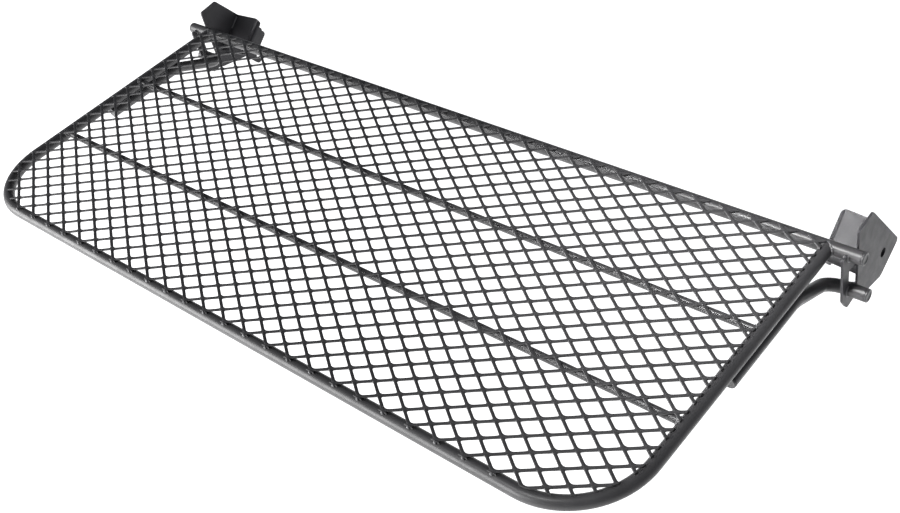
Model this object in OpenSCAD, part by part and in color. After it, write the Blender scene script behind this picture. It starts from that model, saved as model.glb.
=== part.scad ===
// Flat cargo carrier: a bent tube frame, a raised mesh deck and two welded mounting brackets.
// The origin is the middle of the deck's top face. +X runs along the length, +Y points to the
// brackets and the vehicle, and +Z is up.

/* [Frame] */
// Length between the axes of the two side tubes
frame_length = 1472; // [1200:1:1800]
// Depth between the axes of the front and rear tubes
frame_depth = 609; // [500:1:760]
// Outside diameter of the frame tube
tube_od = 22.2; // [20:0.1:25.4]
// Wall of the frame tube
tube_wall = 1.6; // [1.2:0.1:2.5]
// Bend radius of the front corners, to the tube's axis
corner_r = 132; // [90:1:180]
// How far the rear tube runs past each side tube's axis
rear_overhang = 55; // [50:1:75]

/* [Deck] */
// Height of the raised mesh
mesh_h = 4; // [3:0.5:5]
// Long way of one mesh diamond, between its knuckles
mesh_long = 50.8; // [45:0.1:60]
// Short way of one mesh diamond, between its knuckles
mesh_short = 35.1; // [32:0.1:40]
// Width of one strand
strand_w = 5.2; // [3:0.1:6]
// Shift of the diamond pattern along the length
mesh_shift = 8.7; // [0:0.1:25]
// Diameter of the round cross bars under the mesh
bar_d = 12.7; // [10:0.1:14]
// Distance of each cross bar from the middle of the deck
bar_y = 98; // [80:1:120]

/* [Brace] */
// Drop from the rear tube's axis to the brace's outer end
brace_drop = 73; // [70:1:76]
// How far the brace's outer end stands past the side tube's axis
brace_out = 63; // [55:1:75]
// Bend radius of the brace's elbow, to its axis
elbow_r = 30; // [28:1:31]
// Climb of the brace's sloping run, in degrees
brace_slope = 25; // [22:1:28]
// Bend radius where the brace turns level under the side tube
level_r = 60; // [40:1:80]
// Distance from the rear tube's axis to the brace's front end
brace_reach = 288; // [240:1:320]

/* [Bracket] */
// Thickness of every bracket plate
plate_t = 4; // [3:0.5:4.5]
// Inner face of the outer cheek, measured outward from the side tube's axis
cheek_in = 35.5; // [33:0.5:38]
// Inner face of the saddle flange, measured inward from the side tube's axis
flange_in = 36; // [30:0.5:40]
// Outer bend radius of the saddle plate
saddle_bend = 10; // [8:0.5:12]
// Length of the saddle web, down the slope of the bracket
saddle_len = 88; // [80:1:90]
// Distance of the saddle web's front face from the cheek's apex
saddle_u = 74.6; // [70:0.1:80]
// Diameter of the pin hole in the outer cheek
pin_hole = 17; // [13:0.5:20]
// Length of the boss behind the pin hole
boss_len = 12; // [6:1:16]
// Diameter of the bolt hole in the saddle flange
flange_hole = 11; // [9:0.5:13]

/* [Hidden] */

$fn = 64;
coat = [0.24, 0.24, 0.25];
weld_coat = [0.32, 0.32, 0.33];
cap_black = [0.1, 0.1, 0.1];

tube_r = tube_od / 2;
bore_r = tube_r - tube_wall;
tube_z = -mesh_h - tube_r;
bar_r = bar_d / 2;
bar_z = -mesh_h - bar_r;
side_x = frame_length / 2;
rear_y = frame_depth / 2;
slip = 0.05;
// The level bend's wall is thinner by this much on each side, and its ends seat this deep
bend_thinning = 0.2;
bend_seat = 0.3;
overshoot = 1;
arc_steps = 6;

// Outline of the outer cheek, as distances behind and above the rear tube's axis
cheek_front_low = [18, -112];
cheek_front_top = [18, 32.7];
cheek_apex = [62.8, 36.6];
cheek_rear = [160.1, -94.5];
cheek_low = [101.1, -129];
cheek_corners = [10, 5, 6, 8, 14];
// Outline of the arm plate, in the same terms. Its top is notched for the rear tube.
arm_outline = [
  [-24, 6], [-2, 6], [50, -36], [50, -50], [-3.5, -29], [-3.5, -64], [12, -69],
  [32, -86], [74, -98], [80, -118], [18, -105], [-6, -109], [-22, -84]
];
arm_corners = [3, 2, 5, 5, 4, 3, 6, 8, 8, 6, 20, 8, 14];
// The slope that the saddle web stands square to
slope_angle = atan2(cheek_rear[1] - cheek_apex[1], cheek_rear[0] - cheek_apex[0]);
// The saddle web's two ends, lower at the cheek than at the flange
saddle_skew = 5;
// The flange's outline: distance past the apex down the slope, and depth square to it
flange_top = 14;
flange_edge = 109;
flange_toe = 130;
flange_knee = [45, 70];
flange_corners = [8, 10, 6, 8];
web_corners = [1, 12, 10, 1];
pin_at = [119, 36];
flange_hole_at = [117, 68];
boss_wall = 4.5;
weld_leg = 3.5;
cap_lip = 4;
cap_depth = 12;
knuckle_reach = 4;
// The first row of knuckles stands this far behind the front tube's axis
front_knuckle_in = 0.5;
// The deck's rear edge stops this far short of the rear tube's axis
edge_trim = 0.5;
front_knuckle_y = front_knuckle_in - rear_y;
front_edge_y = front_knuckle_y - knuckle_reach;
rear_edge_y = rear_y - edge_trim;
tack_r = 3.4;

function unit(v) = v / norm(v);
function heading(v) = atan2(v[1], v[0]);

// The same turn, taken the short way round
function turn(a) = a > 180 ? a - 360 : a < -180 ? a + 360 : a;

// The points of one rounded corner of an outline
function corner(before, at, after, r) =
  let (
    u = unit(before - at),
    w = unit(after - at),
    half = acos(u * w) / 2,
    centre = at + unit(u + w) * r / sin(half),
    first = heading(at + u * r / tan(half) - centre),
    sweep = turn(heading(at + w * r / tan(half) - centre) - first)
  )
  [for (i = [0:arc_steps])
    centre + r * [cos(first + sweep * i / arc_steps), sin(first + sweep * i / arc_steps)]];

// An outline with every corner rounded by its own radius
function rounded(points, radii) =
  let (n = len(points))
  [for (i = [0:n - 1])
    each corner(points[(i + n - 1) % n], points[i], points[(i + 1) % n], radii[i])];

// The tube's section, with a wall that may be thinner on both sides
module ring_profile(thinning = 0) {
  difference() {
    circle(r = tube_r - thinning);
    circle(r = bore_r + thinning);
  }
}

// A straight tube along +Z from the local origin
module straight_tube(length) {
  linear_extrude(length) ring_profile();
}

// A tube bend about the local Z axis, from the +X side anticlockwise
module tube_bend(radius, angle, thinning = 0) {
  rotate_extrude(angle = angle) translate([radius, 0]) ring_profile(thinning);
}

// Places a child drawn in the bracket's side view, where X is back and Y is up, extruded to the
// right, with its origin where the rear tube's axis meets the right side tube's axis
module side_view(start) {
  translate([side_x + start, rear_y, tube_z]) rotate([90, 0, 90]) children();
}

// The side view turned so that X runs down the slope from the cheek's apex
module slope_view(start) {
  side_view(start) translate(cheek_apex) rotate([0, 0, slope_angle]) children();
}

module left() {
  mirror([1, 0, 0]) children();
}

module both_sides() {
  children();
  left() children();
}

module rear_tube_space(clearance) {
  length = frame_length + 2 * rear_overhang + 2 * overshoot;
  translate([-length / 2, rear_y, tube_z]) rotate([0, 90, 0])
    cylinder(r = tube_r + clearance, h = length);
}

module side_tube_space(clearance) {
  translate([side_x, rear_y, tube_z]) rotate([90, 0, 0])
    cylinder(r = tube_r + clearance, h = frame_depth);
}

// Front tube, corner bends and side tubes, bent from one length
module perimeter_tube() {
  color(coat)
  difference() {
    union() {
      translate([corner_r - side_x, -rear_y, tube_z]) rotate([0, 90, 0])
        straight_tube(frame_length - 2 * corner_r);
      translate([side_x - corner_r, corner_r - rear_y, tube_z]) rotate([0, 0, -90])
        tube_bend(corner_r, 90);
      translate([corner_r - side_x, corner_r - rear_y, tube_z]) rotate([0, 0, 180])
        tube_bend(corner_r, 90);
      for (x = [-side_x, side_x])
        translate([x, rear_y, tube_z]) rotate([90, 0, 0]) straight_tube(frame_depth - corner_r);
    }
    rear_tube_space(slip);
  }
}

module rear_tube() {
  color(coat)
  translate([-side_x - rear_overhang, rear_y, tube_z]) rotate([0, 90, 0])
    straight_tube(frame_length + 2 * rear_overhang);
}

// A round bar from side tube to side tube, its ends coped to fit them
module cross_bar(y) {
  color(coat)
  difference() {
    translate([-side_x, y, bar_z]) rotate([0, 90, 0]) cylinder(r = bar_r, h = frame_length);
    both_sides() side_tube_space(slip);
  }
}

// The deck's outline, with front corners that follow the tube's bends
module deck_outline() {
  bend_x = side_x - corner_r;
  difference() {
    translate([-side_x, front_edge_y]) square([frame_length, rear_edge_y - front_edge_y]);
    both_sides()
      difference() {
        translate([bend_x, -rear_y - corner_r]) square(2 * corner_r);
        translate([bend_x, corner_r - rear_y]) circle(r = corner_r + knuckle_reach, $fn = 96);
      }
  }
}

// One opening of the mesh: a diamond between four strands
module opening() {
  strand_angle = atan2(mesh_short, mesh_long);
  half_long = (mesh_long - strand_w / sin(strand_angle)) / 2;
  half_short = (mesh_short - strand_w / cos(strand_angle)) / 2;
  polygon([[-half_long, 0], [0, -half_short], [half_long, 0], [0, half_short]]);
}

// Rows of knuckles, counted from the row on the front tube
module mesh_deck() {
  columns = ceil(frame_length / mesh_long / 2) + 1;
  rows = ceil(2 * frame_depth / mesh_short) + 1;
  color(coat)
  translate([0, 0, -mesh_h]) linear_extrude(mesh_h)
  difference() {
    deck_outline();
    for (row = [0:rows], column = [-columns:columns]) {
      along = row % 2 == 0 ? column + 1 / 2 : column;
      translate([mesh_shift + along * mesh_long, front_knuckle_y + row * mesh_short / 2]) opening();
    }
  }
}

// The brace's outer end, its elbow and the two runs that lead it under the side tube
module brace_tube() {
  rise = brace_drop - tube_od - slip;
  slope_run = (rise / sin(brace_slope)) - level_r * tan(brace_slope / 2) - elbow_r;
  slope_end = elbow_r + slope_run;
  level_y = -slope_end * cos(brace_slope) - level_r * sin(brace_slope);
  translate([side_x, rear_y, tube_z]) {
    translate([0, 0, -brace_drop]) {
      translate([elbow_r, 0, 0]) rotate([0, 90, 0]) straight_tube(brace_out - elbow_r);
      rotate([-brace_slope, 0, 0]) {
        translate([elbow_r, -elbow_r, 0]) rotate([0, 0, 90]) tube_bend(elbow_r, 90);
        translate([0, -elbow_r, 0]) rotate([90, 0, 0]) straight_tube(slope_run + bend_seat);
      }
    }
    translate([0, level_y, -tube_od - slip]) {
      // This bend's wall is a little thinner, so that its ends seat inside the straight runs
      translate([0, 0, -level_r]) rotate([0, -90, 0]) tube_bend(level_r, brace_slope, bend_thinning);
      translate([0, bend_seat, 0]) rotate([90, 0, 0]) straight_tube(brace_reach + level_y + bend_seat);
    }
  }
}

// The plate that joins the rear tube, the brace and the cheek, inside the cheek
module arm_plate() {
  difference() {
    side_view(cheek_in - plate_t) linear_extrude(plate_t) polygon(rounded(arm_outline, arm_corners));
    rear_tube_space(slip);
    translate([side_x, rear_y, tube_z - brace_drop]) rotate([0, 90, 0])
      cylinder(r = tube_r + slip, h = brace_out);
  }
}

module outer_cheek() {
  outline = [cheek_front_low, cheek_front_top, cheek_apex, cheek_rear, cheek_low];
  difference() {
    side_view(cheek_in) linear_extrude(plate_t) polygon(rounded(outline, cheek_corners));
    pin_axis(cheek_in - overshoot) cylinder(d = pin_hole, h = plate_t + 2 * overshoot);
  }
}

// Places a child on the pin hole's axis, along the outward direction
module pin_axis(start) {
  slope_view(start) translate([pin_at[0], -pin_at[1], 0]) children();
}

// A ring welded behind the cheek, which lengthens the pin hole
module pin_boss() {
  difference() {
    pin_axis(cheek_in - boss_len) cylinder(d = pin_hole + 2 * boss_wall, h = boss_len);
    pin_axis(cheek_in - boss_len - overshoot) cylinder(d = pin_hole, h = boss_len + 2 * overshoot);
  }
}

// The flange of the saddle plate, in the slope view
module flange_outline() {
  start = saddle_u + saddle_bend;
  end = saddle_len - saddle_skew;
  shoulder = [start, -flange_top];
  top = [flange_edge, -flange_top];
  knee = [flange_edge, -flange_knee[0]];
  hip = [flange_toe, -flange_knee[1]];
  toe = [flange_toe, -end];
  root = [start, -end];
  polygon([
    root,
    shoulder,
    each corner(shoulder, top, knee, flange_corners[0]),
    each corner(top, knee, hip, flange_corners[1]),
    each corner(knee, hip, toe, flange_corners[2]),
    each corner(hip, toe, root, flange_corners[3])
  ]);
}

// The web that bears on the vehicle's rail and the flange bent back from it
module saddle_plate() {
  web_start = saddle_bend - flange_in;
  web_end = saddle_len;
  difference() {
    union() {
      slope_view(-flange_in) linear_extrude(plate_t) flange_outline();
      intersection() {
        slope_view(0) rotate([-90, 0, 0]) translate([0, 0, -web_end - overshoot])
          linear_extrude(web_end + saddle_skew + 2 * overshoot)
          saddle_section(web_start);
        slope_view(0) rotate([0, 90, 0]) linear_extrude(saddle_u + 2 * saddle_bend)
          saddle_front(web_end);
      }
    }
    slope_view(-flange_in - overshoot) translate([flange_hole_at[0], -flange_hole_at[1], 0])
      cylinder(d = flange_hole, h = plate_t + 2 * overshoot);
  }
}

// The saddle plate cut square to its bend: X down the slope, Y inward
module saddle_section(web_start) {
  translate([saddle_u, -cheek_in]) square([plate_t, cheek_in - web_start]);
  translate([saddle_u + saddle_bend, -web_start])
    intersection() {
      difference() {
        circle(r = saddle_bend);
        circle(r = saddle_bend - plate_t);
      }
      translate([-saddle_bend, 0]) square(saddle_bend);
    }
}

// The web seen square on: X inward, Y up the depth
module saddle_front(web_end) {
  polygon(rounded([
    [-cheek_in, 0], [flange_in, saddle_skew],
    [flange_in, saddle_skew - web_end], [-cheek_in, -web_end]
  ], web_corners));
}

// A plug with a thin lip, closing a tube's end that faces along +Z
module tube_cap() {
  translate([0, 0, -cap_depth]) cylinder(r = bore_r - slip, h = cap_depth);
  cylinder(r = tube_r, h = cap_lip);
}

// A fillet ring about +Z, its flat side on the plate
module weld_ring() {
  rotate_extrude()
    polygon([[tube_r + slip, 0], [tube_r + weld_leg, 0], [tube_r + slip, weld_leg]]);
}

// Weld metal at the arm plate's two tubes and between the saddle web and the cheek
module bracket_welds() {
  for (drop = [0, brace_drop])
    intersection() {
      translate([side_x + cheek_in, rear_y, tube_z - drop]) rotate([0, 90, 0]) weld_ring();
      side_view(cheek_in) linear_extrude(weld_leg) polygon(rounded(arm_outline, arm_corners));
    }
  slope_view(0) rotate([-90, 0, 0]) translate([0, 0, saddle_skew - saddle_len])
    linear_extrude(saddle_len - 2 * saddle_skew)
    polygon([[saddle_u, -cheek_in], [saddle_u - weld_leg, -cheek_in], [saddle_u, weld_leg - cheek_in]]);
}

// One bead at the tip of each knuckle on the front tube's straight run
module front_tack_welds() {
  reach = side_x - corner_r;
  first = ceil((-reach - mesh_shift) / mesh_long);
  last = floor((reach - mesh_shift) / mesh_long);
  color(weld_coat)
  difference() {
    for (i = [first:last])
      translate([mesh_shift + i * mesh_long, front_edge_y, -mesh_h]) sphere(r = tack_r);
    translate([-side_x, front_edge_y, -2 * mesh_h]) cube([frame_length, tube_od, 3 * mesh_h]);
    translate([-side_x, -rear_y, tube_z]) rotate([0, 90, 0]) cylinder(r = tube_r, h = frame_length);
  }
}

module rear_tube_cap() {
  color(cap_black)
  translate([side_x + rear_overhang, rear_y, tube_z]) rotate([0, 90, 0]) tube_cap();
}

module brace_cap() {
  color(cap_black)
  translate([side_x + brace_out, rear_y, tube_z - brace_drop]) rotate([0, 90, 0]) tube_cap();
}

module brace_tip_plug() {
  color(cap_black)
  translate([side_x, rear_y - brace_reach, tube_z - tube_od - slip]) rotate([90, 0, 0]) tube_cap();
}

perimeter_tube();
rear_tube();
cross_bar(-bar_y);  // front_cross_bar
cross_bar(bar_y);  // rear_cross_bar
mesh_deck();
color(coat) brace_tube();  // right_brace_tube
color(coat) left() brace_tube();  // left_brace_tube
color(coat) arm_plate();  // right_arm_plate
color(coat) left() arm_plate();  // left_arm_plate
color(coat) outer_cheek();  // right_outer_cheek
color(coat) left() outer_cheek();  // left_outer_cheek
color(coat) pin_boss();  // right_pin_boss
color(coat) left() pin_boss();  // left_pin_boss
color(coat) saddle_plate();  // right_saddle_plate
color(coat) left() saddle_plate();  // left_saddle_plate
rear_tube_cap();  // right_rear_tube_cap
left() rear_tube_cap();  // left_rear_tube_cap
brace_cap();  // right_brace_cap
left() brace_cap();  // left_brace_cap
brace_tip_plug();  // right_brace_tip_plug
left() brace_tip_plug();  // left_brace_tip_plug
color(weld_coat) bracket_welds();  // right_bracket_welds
color(weld_coat) left() bracket_welds();  // left_bracket_welds
front_tack_welds();
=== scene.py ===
import math
import random

import bmesh
import bpy
import numpy as np
from mathutils import Matrix, Vector


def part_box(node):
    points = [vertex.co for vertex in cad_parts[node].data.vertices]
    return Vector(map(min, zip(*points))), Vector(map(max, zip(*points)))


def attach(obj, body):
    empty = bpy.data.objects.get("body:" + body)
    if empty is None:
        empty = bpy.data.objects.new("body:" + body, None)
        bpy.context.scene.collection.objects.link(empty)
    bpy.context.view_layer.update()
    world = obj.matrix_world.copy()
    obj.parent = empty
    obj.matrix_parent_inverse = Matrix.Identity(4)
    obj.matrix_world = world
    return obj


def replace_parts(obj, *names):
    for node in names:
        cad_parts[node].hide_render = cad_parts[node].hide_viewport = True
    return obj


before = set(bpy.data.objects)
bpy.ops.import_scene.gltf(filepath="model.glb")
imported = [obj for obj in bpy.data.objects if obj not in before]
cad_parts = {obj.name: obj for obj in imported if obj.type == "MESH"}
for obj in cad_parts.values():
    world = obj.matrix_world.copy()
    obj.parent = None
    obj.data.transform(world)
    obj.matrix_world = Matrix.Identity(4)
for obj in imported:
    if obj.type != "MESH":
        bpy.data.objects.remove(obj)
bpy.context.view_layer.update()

MM = 0.001

# ---------------------------------------------------------------- sizes taken from the frame
rear_low, rear_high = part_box("rear_tube")
TUBE_R = (rear_high.z - rear_low.z) / 2
TUBE_Z = (rear_high.z + rear_low.z) / 2
REAR_Y = (rear_high.y + rear_low.y) / 2
STUB_X = rear_high.x
frame_low, frame_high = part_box("perimeter_tube")
SIDE_X = frame_high.x - TUBE_R
FRONT_Y = frame_low.y + TUBE_R
bar_low, bar_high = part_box("rear_cross_bar")
BAR_R = (bar_high.z - bar_low.z) / 2
BAR_Z = (bar_high.z + bar_low.z) / 2
BAR_Y = (bar_high.y + bar_low.y) / 2
deck_low, deck_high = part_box("mesh_deck")
brace_low, brace_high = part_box("right_brace_tube")
BRACE_Z = brace_low.z + TUBE_R
BRACE_X = brace_high.x
BRACE_FRONT_Y = brace_low.y
LEVEL_Z = brace_high.z - TUBE_R
cap_low, cap_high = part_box("right_rear_tube_cap")
CAP_X = cap_high.x
arm_low, arm_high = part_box("right_arm_plate")

# ---------------------------------------------------------------- sizes that no box gives
TUBE_WALL = 1.6 * MM
CORNER_R = 132 * MM
ELBOW_R = 30 * MM
LEVEL_R = 60 * MM
BRACE_SLOPE = math.radians(25)
MESH_LONG = 50.8 * MM
MESH_SHORT = 35.1 * MM
MESH_SHIFT = 8.7 * MM
STRAND_W = 5.2 * MM
KNUCKLE_Y = FRONT_Y + 0.5 * MM
# the cheek's apex, behind and above the rear tube's axis, and the way down the saddle web's slope
APEX = (62.8 * MM, 36.6 * MM)
SLOPE = (0.59597, -0.80300)
SADDLE_U = 74.6 * MM
# rounding of the bracket plates' edges
EDGE_R = 0.45 * MM
# how many flat sides stand for a round section
TUBE_SIDES = 48
BAR_SIDES = 32
CAP_SIDES = 40
# radii of the weld beads round the bracket's tubes and under the braces, along the bracket's plates,
# at the frame's seams and at the cross bars
RING_BEAD_R = 1.5 * MM
PLATE_BEAD_R = 1.9 * MM
SEAM_BEAD_R = 1.7 * MM
BAR_BEAD_R = 1.4 * MM
# noise scales of the coat, coarse to fine: changes of tone, changes of gloss, specks, orange peel
TONE_SCALE = 14
GLOSS_SCALE = 60
SPECK_SCALE = 420
PEEL_SCALE = 650
# how far the tone strays from the coat's colour, and the specks' share of that
TONE_SPREAD = 0.14
SPECK_SHARE = 0.35


def side_name(side):
    return "right" if side > 0 else "left"


# ---------------------------------------------------------------- materials
def powder_coat(name, colour, roughness, specular, grain=0.16, painted_edge_highlight=0.0):
    """Satin powder coat: a fine orange-peel bump, and slow changes of tone and gloss.

    painted_edge_highlight is how far the coat lightens along sharp edges, a painted highlight where light
    catches them, from 0, not at all, to 1.
    """
    material = bpy.data.materials.new(name)
    material.use_nodes = True
    nodes, links = material.node_tree.nodes, material.node_tree.links
    shader = nodes["Principled BSDF"]
    shader.inputs["Specular IOR Level"].default_value = specular
    coordinates = nodes.new("ShaderNodeTexCoord")

    def noise(scale, detail):
        node = nodes.new("ShaderNodeTexNoise")
        node.inputs["Scale"].default_value = scale
        node.inputs["Detail"].default_value = detail
        links.new(coordinates.outputs["Object"], node.inputs["Vector"])
        return node

    def spread(source, low, high):
        node = nodes.new("ShaderNodeMapRange")
        node.inputs["From Min"].default_value = 0.3
        node.inputs["From Max"].default_value = 0.7
        node.inputs["To Min"].default_value = low
        node.inputs["To Max"].default_value = high
        links.new(source, node.inputs["Value"])
        return node.outputs["Result"]

    tone = nodes.new("ShaderNodeMix")
    tone.data_type = "RGBA"
    tone.inputs["A"].default_value = (*[c * (1 - TONE_SPREAD) for c in colour], 1)
    tone.inputs["B"].default_value = (*[c * (1 + TONE_SPREAD) for c in colour], 1)
    slow, speck = noise(TONE_SCALE, 3), noise(SPECK_SCALE, 2)
    mixed = nodes.new("ShaderNodeMath")
    mixed.operation = "MULTIPLY_ADD"
    mixed.inputs[1].default_value = SPECK_SHARE
    links.new(spread(speck.outputs["Fac"], 0, 1), mixed.inputs[0])
    links.new(spread(slow.outputs["Fac"], 0, 1 - SPECK_SHARE), mixed.inputs[2])
    links.new(mixed.outputs["Value"], tone.inputs["Factor"])
    colour_out = tone.outputs["Result"]
    # painted highlight: the colour lightens along sharp edges, where light would catch them
    if painted_edge_highlight:
        edge = nodes.new("ShaderNodeBevel")
        edge.samples = 4
        edge.inputs["Radius"].default_value = 1.2 * MM
        geometry = nodes.new("ShaderNodeNewGeometry")
        dot = nodes.new("ShaderNodeVectorMath")
        dot.operation = "DOT_PRODUCT"
        links.new(edge.outputs["Normal"], dot.inputs[0])
        links.new(geometry.outputs["Normal"], dot.inputs[1])
        edge_highlight_mask = nodes.new("ShaderNodeMapRange")
        edge_highlight_mask.inputs["From Min"].default_value = 0.99
        edge_highlight_mask.inputs["From Max"].default_value = 0.8
        edge_highlight_mask.inputs["To Max"].default_value = painted_edge_highlight
        links.new(dot.outputs["Value"], edge_highlight_mask.inputs["Value"])
        edge_highlighted_colour = nodes.new("ShaderNodeMix")
        edge_highlighted_colour.data_type = "RGBA"
        edge_highlighted_colour.inputs["B"].default_value = (*[min(1, c * 2.4) for c in colour], 1)
        links.new(edge_highlight_mask.outputs["Result"], edge_highlighted_colour.inputs["Factor"])
        links.new(colour_out, edge_highlighted_colour.inputs["A"])
        colour_out = edge_highlighted_colour.outputs["Result"]
    links.new(colour_out, shader.inputs["Base Color"])
    gloss = spread(noise(GLOSS_SCALE, 2).outputs["Fac"], roughness - 0.05, roughness + 0.06)
    links.new(gloss, shader.inputs["Roughness"])
    bump = nodes.new("ShaderNodeBump")
    bump.inputs["Strength"].default_value = grain
    bump.inputs["Distance"].default_value = 0.3 * MM
    links.new(noise(PEEL_SCALE, 2).outputs["Fac"], bump.inputs["Height"])
    links.new(bump.outputs["Normal"], shader.inputs["Normal"])
    return material


FRAME_COAT = powder_coat("frame_coat", (0.052, 0.051, 0.053), 0.38, 0.45)
MESH_COAT = powder_coat("mesh_coat", (0.060, 0.059, 0.061), 0.40, 0.5)
# the bracket plates' edges get a painted highlight
BRACKET_COAT = powder_coat("bracket_coat", (0.045, 0.044, 0.048), 0.46, 0.26, painted_edge_highlight=0.6)
# lighter than the frame's coat: a painted highlight on the weld beads and tacks, where the front light
# catches them
WELD_COAT_WITH_PAINTED_HIGHLIGHT = powder_coat("weld_coat", (0.130, 0.130, 0.134), 0.32, 0.5, grain=0.3)
# the caps' rims get a painted highlight
CAP_COAT = powder_coat("end_cap_plastic", (0.055, 0.055, 0.057), 0.36, 0.5, grain=0.2, painted_edge_highlight=0.4)


# ---------------------------------------------------------------- mesh helpers
def piece(name, points, faces, material, slot, sharp_deg=38):
    """A new piece from points and faces, smooth except at sharp edges, riding on the frame."""
    mesh = bpy.data.meshes.new(name)
    mesh.from_pydata([tuple(p) for p in points], [], faces)
    return finished(name, mesh, material, sharp_deg)


def finished(name, mesh, material, sharp_deg=38):
    mesh.validate()
    mesh.shade_smooth()
    mesh.set_sharp_from_angle(angle=math.radians(sharp_deg))
    mesh.materials.append(material)
    obj = bpy.data.objects.new(name, mesh)
    bpy.context.scene.collection.objects.link(obj)
    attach(obj, "root")
    return obj


def arc_route(corners, radii, steps=20):
    """A polyline through the corners, each inner corner rounded by an arc of its radius."""
    route = [Vector(corners[0])]
    for before, at, after, radius in zip(corners, corners[1:], corners[2:], radii):
        before, at, after = Vector(before), Vector(at), Vector(after)
        u, w = (before - at).normalized(), (after - at).normalized()
        half = u.angle(w) / 2
        start, end = at + u * radius / math.tan(half), at + w * radius / math.tan(half)
        centre = at + (u + w).normalized() * radius / math.sin(half)
        first, last = start - centre, end - centre
        sweep = first.angle(last)
        for i in range(steps + 1):
            t = i / steps
            turned = first * math.sin((1 - t) * sweep) + last * math.sin(t * sweep)
            route.append(centre + turned / math.sin(sweep))
    route.append(Vector(corners[-1]))
    return route


def frames_along(route, closed=False):
    """At each point of the route, two directions square to it that turn as little as possible."""
    count = len(route)
    tangents = []
    for i in range(count):
        a = route[i - 1] if closed or i else route[i]
        b = route[(i + 1) % count] if closed or i < count - 1 else route[i]
        tangents.append((b - a).normalized())
    side = tangents[0].orthogonal().normalized()
    result = []
    for tangent in tangents:
        side = (side - tangent * side.dot(tangent)).normalized()
        result.append((side, tangent.cross(side)))
    return result


def swept(route, radius_at, segments, closed=False, inner=None):
    """Points and faces of a round section swept along the route. With inner, the sweep is a hollow tube."""
    points, faces, count = [], [], len(route)
    shells = [radius_at] if inner is None else [radius_at, inner]
    frames = frames_along(route, closed)
    for shell in shells:
        for i, (at, (side, up)) in enumerate(zip(route, frames)):
            r = shell(i) if callable(shell) else shell
            for k in range(segments):
                a = 2 * math.pi * k / segments
                points.append(at + side * r * math.cos(a) + up * r * math.sin(a))
    for s in range(len(shells)):
        base = s * count * segments
        for i in range(count if closed else count - 1):
            here = base + i * segments
            ahead = base + (i + 1) % count * segments
            for k in range(segments):
                n = (k + 1) % segments
                quad = (here + k, here + n, ahead + n, ahead + k)
                faces.append(quad if s == 0 else quad[::-1])
    if closed:
        return points, faces
    last = (count - 1) * segments
    if inner is None:
        faces.append(tuple(range(segments))[::-1])
        faces.append(tuple(last + k for k in range(segments)))
    else:
        shift = count * segments
        for k in range(segments):
            n = (k + 1) % segments
            faces.append((n, k, shift + k, shift + n))
            faces.append((last + k, last + n, shift + last + n, shift + last + k))
    return points, faces


def joined(parts):
    """One list of points and faces from several."""
    points, faces = [], []
    for more_points, more_faces in parts:
        base = len(points)
        points.extend(more_points)
        faces.extend(tuple(base + i for i in f) for f in more_faces)
    return points, faces


def tube(name, route, radius, segments, inner=None):
    return piece(name, *swept(route, radius, segments, inner=inner), FRAME_COAT, "frame_coat")


def bead(route, radius, chance, closed=False, pitch=2.4 * MM):
    """A rippled weld bead along the route: overlapping half-moons of slightly different size."""
    fine, at, lengths = [], 0.0, []
    loop = route + [route[0]] if closed else route
    for a, b in zip(loop, loop[1:]):
        steps = max(1, round((b - a).length / (0.6 * MM)))
        for i in range(steps):
            fine.append(a.lerp(b, i / steps))
            lengths.append(at + (b - a).length * i / steps)
        at += (b - a).length
    if not closed:
        fine.append(route[-1])
        lengths.append(at)
    turns = max(1, round(at / pitch))
    sizes = [radius * chance.uniform(0.9, 1.1) for _ in range(turns + 1)]

    def radius_at(i):
        place = lengths[i] / at * turns
        k = min(int(place), turns - 1)
        ripple = 1 - 0.16 * (place - k) ** 2
        taper = 1 if closed else min(1, 0.35 + min(i, len(fine) - 1 - i) * 0.6 * MM / radius)
        following = sizes[0] if closed and k == turns - 1 else sizes[k + 1]
        return (sizes[k] + (following - sizes[k]) * (place - k)) * ripple * taper

    return swept(fine, radius_at, 10, closed)


def mirrored(part):
    """The same points and faces on the other side of the middle."""
    points, faces = part
    return [Vector((-p.x, p.y, p.z)) for p in points], [tuple(reversed(f)) for f in faces]


def for_side(part, side):
    return part if side > 0 else mirrored(part)


# ---------------------------------------------------------------- frame tubes
perimeter_route = arc_route(
    [
        (-SIDE_X, REAR_Y - 0.25 * TUBE_R, TUBE_Z),
        (-SIDE_X, FRONT_Y, TUBE_Z),
        (SIDE_X, FRONT_Y, TUBE_Z),
        (SIDE_X, REAR_Y - 0.25 * TUBE_R, TUBE_Z),
    ],
    [CORNER_R, CORNER_R],
    steps=32,
)
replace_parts(tube("bent_frame_tube", perimeter_route, TUBE_R, TUBE_SIDES), "perimeter_tube")
rear_route = [Vector((-STUB_X, REAR_Y, TUBE_Z)), Vector((STUB_X, REAR_Y, TUBE_Z))]
straight_tube = tube("straight_rear_tube", rear_route, TUBE_R, TUBE_SIDES, TUBE_R - TUBE_WALL)
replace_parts(straight_tube, "rear_tube")
for label, y in (("front", -BAR_Y), ("rear", BAR_Y)):
    reach = SIDE_X - 2 * MM
    bar_route = [Vector((-reach, y, BAR_Z)), Vector((reach, y, BAR_Z))]
    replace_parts(tube(label + "_round_bar", bar_route, BAR_R, BAR_SIDES), label + "_cross_bar")


# ---------------------------------------------------------------- braces and end caps
knee_y = REAR_Y - (LEVEL_Z - BRACE_Z) / math.tan(BRACE_SLOPE)
brace_route = arc_route(
    [
        (BRACE_X, REAR_Y, BRACE_Z),
        (SIDE_X, REAR_Y, BRACE_Z),
        (SIDE_X, knee_y, LEVEL_Z),
        (SIDE_X, BRACE_FRONT_Y, LEVEL_Z),
    ],
    [ELBOW_R, LEVEL_R],
)


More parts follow.
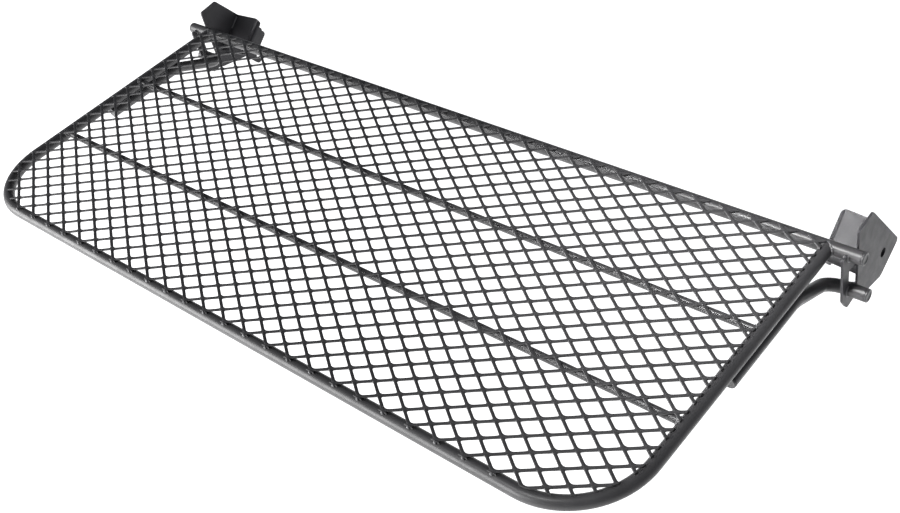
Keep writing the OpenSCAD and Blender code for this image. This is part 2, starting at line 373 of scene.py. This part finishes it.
def end_cap(centre, outward):
    """A pressed end cap: a rounded rim round a shallow dish, with a spigot in the tube's bore."""
    spigot = TUBE_R - TUBE_WALL - 0.05 * MM
    lip = CAP_X - STUB_X
    profile = [
        (0, lip - 1.6 * MM), (0.5 * TUBE_R, lip - 1.6 * MM), (0.64 * TUBE_R, lip - 1.3 * MM),
        (0.73 * TUBE_R, lip - 0.4 * MM), (0.8 * TUBE_R, lip - 0.04 * MM), (0.87 * TUBE_R, lip),
        (0.94 * TUBE_R, lip - 0.3 * MM), (0.985 * TUBE_R, lip - 0.9 * MM), (TUBE_R, lip - 1.6 * MM),
        (TUBE_R, 1.4 * MM), (0.985 * TUBE_R, 1.0 * MM), (0.92 * TUBE_R, 0.9 * MM), (0.91 * TUBE_R, 0.02 * MM),
        (spigot, 0.02 * MM), (spigot, -10 * MM), (spigot - 0.75 * MM, -12 * MM), (0, -12 * MM),
    ]
    segments = CAP_SIDES
    side = outward.orthogonal().normalized()
    up = outward.cross(side)
    points = [centre + outward * profile[0][1]]
    for r, height in profile[1:-1]:
        for k in range(segments):
            a = 2 * math.pi * k / segments
            points.append(centre + outward * height + side * r * math.cos(a) + up * r * math.sin(a))
    points.append(centre + outward * profile[-1][1])
    rings = len(profile) - 2
    faces = [(0, 1 + k, 1 + (k + 1) % segments) for k in range(segments)]
    for ring in range(rings - 1):
        for k in range(segments):
            a, b = 1 + ring * segments + k, 1 + ring * segments + (k + 1) % segments
            faces.append((b, a, a + segments, b + segments))
    base, tip = 1 + (rings - 1) * segments, len(points) - 1
    faces.extend((base + (k + 1) % segments, base + k, tip) for k in range(segments))
    return points, faces


for side in (1, -1):
    name = side_name(side)
    shape = for_side(swept(brace_route, TUBE_R, TUBE_SIDES, inner=TUBE_R - TUBE_WALL), side)
    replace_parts(piece(name + "_bent_brace", *shape, FRAME_COAT, "frame_coat"), name + "_brace_tube")
    for label, centre, outward in (
        ("rear_tube_cap", Vector((STUB_X, REAR_Y, TUBE_Z)), Vector((1, 0, 0))),
        ("brace_cap", Vector((BRACE_X, REAR_Y, BRACE_Z)), Vector((1, 0, 0))),
        ("brace_tip_plug", Vector((SIDE_X, BRACE_FRONT_Y, LEVEL_Z)), Vector((0, -1, 0))),
    ):
        shape = for_side(end_cap(centre, outward), side)
        cap = piece(name + "_" + label + "_dished", *shape, CAP_COAT, "end_cap_plastic")
        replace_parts(cap, name + "_" + label)


# ---------------------------------------------------------------- expanded-metal deck
def tile_rings():
    """One mesh cell about its centre, as rings of points.

    They run from the strands' middle lines on top, down the opening's wall and back underneath.
    """
    a_out, b_out = MESH_LONG / 2, MESH_SHORT / 2
    slant = math.atan2(MESH_SHORT, MESH_LONG)
    a_in = a_out - STRAND_W / math.sin(slant) / 2
    b_in = b_out - STRAND_W / math.cos(slant) / 2
    edge_scale = math.hypot(1 / a_in, 1 / b_in)
    vertices = [(a_out, 0), (0, b_out), (-a_out, 0), (0, -b_out)]
    shares = [0, 0.06, 0.14, 0.26, 0.5, 0.74, 0.86, 0.94]
    radii = {0: 1.6 * MM, 1: 1.2 * MM, 2: 1.6 * MM, 3: 9 * MM}

    def inner(x, y):
        """The opening's wall on the ray through (x, y): the inset diamond with rounded corners."""
        t = 1 / (abs(x) / a_in + abs(y) / b_in)
        px, py = x * t, y * t
        for corner, r in radii.items():
            along = corner % 2
            sign = 1 if corner < 2 else -1
            size = (a_in, b_in)[along]
            h = sign * size * (1 - r * edge_scale)
            reach = r / (b_in, a_in)[along] / edge_scale
            main, cross = (px, py) if along == 0 else (py, px)
            if main * sign > 0 and abs(cross) < reach:
                length = math.hypot(x, y)
                ux, uy = x / length, y / length
                hx, hy = (h, 0) if along == 0 else (0, h)
                mid = ux * hx + uy * hy
                root = mid + math.sqrt(max(0, mid * mid - hx * hx - hy * hy + r * r))
                return ux * root, uy * root
        return px, py

    top, bottom, raised = deck_high.z, deck_low.z, 0.9 * MM
    soft = 0.55 * MM
    rings = [[] for _ in range(6)]
    for start, end in zip(vertices, vertices[1:] + vertices[:1]):
        for t in shares:
            x, y = start[0] + (end[0] - start[0]) * t, start[1] + (end[1] - start[1]) * t
            ix, iy = inner(x, y)
            lean = max(-1, min(1, 3 * iy / b_in))
            high = top - raised * (0.5 - 0.5 * lean)
            low = bottom + raised * (0.5 + 0.5 * lean)
            near = 1 - soft / max(math.hypot(x - ix, y - iy), soft * 1.5)
            nx, ny = x + (ix - x) * near, y + (iy - y) * near
            rings[0].append((x, y, top - raised / 2))
            rings[1].append((nx, ny, high))
            rings[2].append((ix, iy, high - soft))
            rings[3].append((ix, iy, low + soft))
            rings[4].append((nx, ny, low))
            rings[5].append((x, y, bottom + raised / 2))
    return np.array(rings)


def cut(bm, geometry, place, outward):
    bmesh.ops.bisect_plane(
        bm, geom=geometry, dist=1e-7, plane_co=place, plane_no=outward, clear_outer=True
    )


def all_of(bm, test=None):
    """The whole mesh's geometry, or the faces whose middles pass the test, with their edges and vertices."""
    if test is None:
        return list(bm.verts) + list(bm.edges) + list(bm.faces)
    faces = [f for f in bm.faces if test(f.calc_center_median())]
    edges = {e for f in faces for e in f.edges}
    verts = {v for f in faces for v in f.verts}
    return list(verts) + list(edges) + faces


def deck_mesh():
    rings = tile_rings()
    ring_count, around, _ = rings.shape
    cell = rings.reshape(-1, 3)
    quads = []
    for ring in range(ring_count - 1):
        for k in range(around):
            a, b = ring * around + k, ring * around + (k + 1) % around
            quads.append((a, b, b + around, a + around))
    quads = np.array(quads)
    points, faces = [], []
    columns = math.ceil(SIDE_X / MESH_LONG) + 1
    rows = math.ceil(2 * (REAR_Y - FRONT_Y) / MESH_SHORT) + 1
    for row in range(-1, rows + 1):
        for column in range(-columns, columns + 1):
            x = MESH_SHIFT + (column + (0.5 if row % 2 == 0 else 0)) * MESH_LONG
            y = KNUCKLE_Y + row * MESH_SHORT / 2
            if abs(x) < SIDE_X + MESH_LONG / 2 and y < REAR_Y + MESH_SHORT / 2:
                faces.append(quads + len(points) * len(cell))
                points.append(cell + np.array((x, y, 0)))
    points = np.concatenate(points)
    faces = np.concatenate(faces)
    _, kept, where = np.unique(np.round(points, 6), axis=0, return_index=True, return_inverse=True)
    mesh = bpy.data.meshes.new("expanded_mesh_deck")
    mesh.from_pydata(points[kept].tolist(), [], where.ravel()[faces].tolist())
    bm = bmesh.new()
    bm.from_mesh(mesh)
    front = KNUCKLE_Y - 2.6 * MM
    rear = deck_high.y - 3 * MM
    edge = deck_high.x - 3 * MM
    cut(bm, all_of(bm), (0, front, 0), (0, -1, 0))
    cut(bm, all_of(bm), (0, rear, 0), (0, 1, 0))
    for side in (1, -1):
        cut(bm, all_of(bm), (side * edge, 0, 0), (side, 0, 0))
        centre = Vector((side * (SIDE_X - CORNER_R), FRONT_Y + CORNER_R, 0))
        for angle in range(9, 90, 12):
            a = math.radians(angle)
            outward = Vector((side * math.sin(a), -math.cos(a), 0))
            near = all_of(bm, lambda p: (p.x - centre.x) * side > -MESH_LONG and p.y < centre.y + MESH_LONG)
            cut(bm, near, centre + outward * (CORNER_R - 2 * MM), outward)
    open_edges = [e for e in bm.edges if e.is_boundary]
    filled = bmesh.ops.holes_fill(bm, edges=open_edges, sides=0)
    bmesh.ops.triangulate(bm, faces=filled["faces"])
    bmesh.ops.recalc_face_normals(bm, faces=bm.faces)
    bm.to_mesh(mesh)
    bm.free()
    return mesh


deck = finished("expanded_mesh_deck", deck_mesh(), MESH_COAT, 50)
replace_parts(deck, "mesh_deck")


# ---------------------------------------------------------------- welds
def blob(centre, size, chance):
    """A small drop of weld metal, a little uneven."""
    bm = bmesh.new()
    bmesh.ops.create_icosphere(bm, subdivisions=2, radius=1)
    tilt = Matrix.Rotation(chance.uniform(-0.4, 0.4), 3, "Z")
    wave = [chance.uniform(0, 6.3) for _ in range(3)]
    points = []
    for v in bm.verts:
        across = 0.08 * math.sin(3 * v.co.x + wave[0]) * math.cos(4 * v.co.y + wave[1])
        swell = 1 + across + 0.04 * math.sin(5 * v.co.z + wave[2])
        p = v.co * swell
        points.append(centre + tilt @ Vector((p.x * size[0], p.y * size[1], p.z * size[2])))
    faces = [tuple(v.index for v in f.verts) for f in bm.faces]
    bm.free()
    return points, faces


def ring_arc(x, y, z, radius, first, last, steps=36):
    """An arc square to X, from one angle to another in degrees, measured from +Y towards +Z."""
    angles = [math.radians(first + (last - first) * k / steps) for k in range(steps + 1)]
    return [Vector((x, y + radius * math.cos(a), z + radius * math.sin(a))) for a in angles]


def on_slope(x, u, depth):
    """A point of the bracket: u down the slope from the cheek's apex, depth square to it."""
    behind = APEX[0] + u * SLOPE[0] + depth * SLOPE[1]
    above = APEX[1] + u * SLOPE[1] - depth * SLOPE[0]
    return Vector((x, REAR_Y + behind, TUBE_Z + above))


chance = random.Random(11)
TACK_SIZE = (3.2 * MM, 2.6 * MM, 2.8 * MM)
tack_y = KNUCKLE_Y - 3.4 * MM
tack_z = TUBE_Z + TUBE_R + 0.9 * MM
reach = SIDE_X - CORNER_R
first = math.ceil((-reach - MESH_SHIFT) / MESH_LONG)
last = math.floor((reach - MESH_SHIFT) / MESH_LONG)
tacks = []
for i in range(first, last + 1):
    place = Vector((MESH_SHIFT + i * MESH_LONG + 0.6 * MM, tack_y, tack_z))
    tacks.append(blob(place, TACK_SIZE, chance))
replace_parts(piece("front_tack_drops", *joined(tacks), WELD_COAT_WITH_PAINTED_HIGHLIGHT, "weld_coat"), "front_tack_welds")

for side in (1, -1):
    name = side_name(side)
    chance = random.Random(20 + side)
    plate_out, plate_in = arm_high.x, arm_low.x
    beads = []
    for z, first_angle, last_angle in ((TUBE_Z, 152, 335), (BRACE_Z, 112, 383)):
        for x in (plate_out + 0.4 * MM, plate_in - 0.4 * MM):
            route = ring_arc(x, REAR_Y, z, TUBE_R + 0.5 * MM, first_angle, last_angle)
            beads.append(bead(route, RING_BEAD_R, chance))
    # two beads down the joint of saddle web and cheek, then a tack at its top and one on the arm plate
    for start, end in ((8 * MM, 34 * MM), (52 * MM, 80 * MM)):
        depths = [start + (end - start) * k / 8 for k in range(9)]
        line = [on_slope(plate_out - 0.5 * MM, SADDLE_U - 0.5 * MM, depth) for depth in depths]
        beads.append(bead(line, PLATE_BEAD_R, chance))
    saddle_tack = on_slope(plate_out - 1 * MM, SADDLE_U - 1 * MM, 7 * MM)
    beads.append(blob(saddle_tack, (2.6 * MM, 2.6 * MM, 2.6 * MM), chance))
    arm_tack = Vector((plate_in + 1 * MM, REAR_Y - 15 * MM, TUBE_Z + 5 * MM))
    beads.append(blob(arm_tack, (2.6 * MM, 2.4 * MM, 2.0 * MM), chance))
    piece_of_beads = for_side(joined(beads), side)
    welds = piece(name + "_bracket_beads", *piece_of_beads, WELD_COAT_WITH_PAINTED_HIGHLIGHT, "weld_coat", 60)
    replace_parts(welds, name + "_bracket_welds")

    # side tube to rear tube: the bead follows the line where the two tubes meet
    seam = []
    grown = TUBE_R + 0.4 * MM
    seam_steps = 72
    for k in range(seam_steps):
        a = 2 * math.pi * k / seam_steps
        seam.append(Vector((
            SIDE_X + grown * math.cos(a),
            REAR_Y - abs(grown * math.cos(a)) - 0.3 * MM,
            TUBE_Z + (TUBE_R - 0.6 * MM) * math.sin(a),
        )))
    seams = [bead(seam, SEAM_BEAD_R, chance, True)]
    # cross bars to side tube
    for y in (-BAR_Y, BAR_Y):
        route = []
        for k in range(BAR_SIDES):
            a = 2 * math.pi * k / BAR_SIDES
            z = BAR_Z + (BAR_R - 0.5 * MM) * math.sin(a)
            drop = min(TUBE_R, abs(z - TUBE_Z))
            x = SIDE_X - math.sqrt(TUBE_R ** 2 - drop ** 2) - 0.4 * MM
            route.append(Vector((x, y + (BAR_R + 0.4 * MM) * math.cos(a), z)))
        seams.append(bead(route, BAR_BEAD_R, chance, True))
    # brace under the side tube: short stitches on both sides of the line where they touch
    touch_z = (TUBE_Z + LEVEL_Z) / 2
    stitch = 32 * MM
    run_start, run_end = BRACE_FRONT_Y + 6 * MM, knee_y - 30 * MM
    for j in range(3):
        y = run_start + (run_end - stitch - run_start) * j / 2
        for offset in (-5.2 * MM, 5.2 * MM):
            line = [Vector((SIDE_X + offset, y + stitch * t / 6, touch_z)) for t in range(7)]
            seams.append(bead(line, RING_BEAD_R, chance))
    piece(name + "_frame_beads", *for_side(joined(seams), side), WELD_COAT_WITH_PAINTED_HIGHLIGHT, "weld_coat", 60)


# ---------------------------------------------------------------- bracket plates: CAD shape, softened edges
def softened(node, material, radius):
    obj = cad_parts[node]
    obj.data.materials.clear()
    obj.data.materials.append(material)
    weld = obj.modifiers.new("weld", "WELD")
    weld.merge_threshold = 0.01 * MM
    bevel = obj.modifiers.new("edge", "BEVEL")
    bevel.width = radius
    bevel.segments = 3
    bevel.limit_method = "ANGLE"
    bevel.angle_limit = math.radians(40)
    bevel.harden_normals = False


for side in (1, -1):
    for label in ("arm_plate", "outer_cheek", "pin_boss", "saddle_plate"):
        softened(side_name(side) + "_" + label, BRACKET_COAT, EDGE_R)


# ---------------------------------------------------------------- floor, light and camera
def pale_floor():
    mesh = bpy.data.meshes.new("floor")
    size, depth = 14.0, -1.1
    corners = [(-size, -size, depth), (size, -size, depth), (size, size, depth), (-size, size, depth)]
    mesh.from_pydata(corners, [], [(0, 1, 2, 3)])
    floor = bpy.data.objects.new("floor", mesh)
    bpy.context.scene.collection.objects.link(floor)
    material = bpy.data.materials.new("floor_paper")
    material.use_nodes = True
    shader = material.node_tree.nodes["Principled BSDF"]
    shader.inputs["Base Color"].default_value = (0.9, 0.9, 0.9, 1)
    shader.inputs["Roughness"].default_value = 0.9
    shader.inputs["Emission Color"].default_value = (1, 1, 1, 1)
    shader.inputs["Emission Strength"].default_value = 0.78
    mesh.materials.append(material)


def softbox(name, place, aim, width, height, power, spread_deg=180):
    light = bpy.data.lights.new(name, "AREA")
    light.shape = "RECTANGLE"
    light.size, light.size_y, light.energy = width, height, power
    light.spread = math.radians(spread_deg)
    obj = bpy.data.objects.new(name, light)
    obj.location = place
    obj.rotation_euler = (Vector(aim) - Vector(place)).to_track_quat("-Z", "Y").to_euler()
    bpy.context.scene.collection.objects.link(obj)


pale_floor()
softbox("key_softbox", (-2.3, -3.0, 0.85), (-0.1, -0.2, 0), 4.4, 2.4, 340)
softbox("bracket_softbox", (0.1, -0.6, 1.75), (0.74, 0.36, -0.05), 0.8, 0.8, 3.3, 24)
world = bpy.data.worlds.new("studio")
world.use_nodes = True
world.node_tree.nodes["Background"].inputs["Color"].default_value = (0.9, 0.93, 1.0, 1)
world.node_tree.nodes["Background"].inputs["Strength"].default_value = 0.17
bpy.context.scene.world = world
bpy.context.scene.view_settings.view_transform = "Standard"

CAMERA_PLACE = Vector((1.34977, -0.93988, 1.26983))
CAMERA_AIM = Vector((0.24055, -0.00651, 0))
CAMERA_ROLL = math.radians(-14.54)
lens = bpy.data.cameras.new("camera")
lens.sensor_width = 36
lens.lens = 47.79
camera = bpy.data.objects.new("camera", lens)
bpy.context.scene.collection.objects.link(camera)
camera.rotation_mode = "QUATERNION"
camera.location = CAMERA_PLACE
aimed = (CAMERA_AIM - CAMERA_PLACE).to_track_quat("-Z", "Y")
camera.rotation_quaternion = aimed @ Matrix.Rotation(CAMERA_ROLL, 3, "Z").to_quaternion()
bpy.context.scene.camera = camera
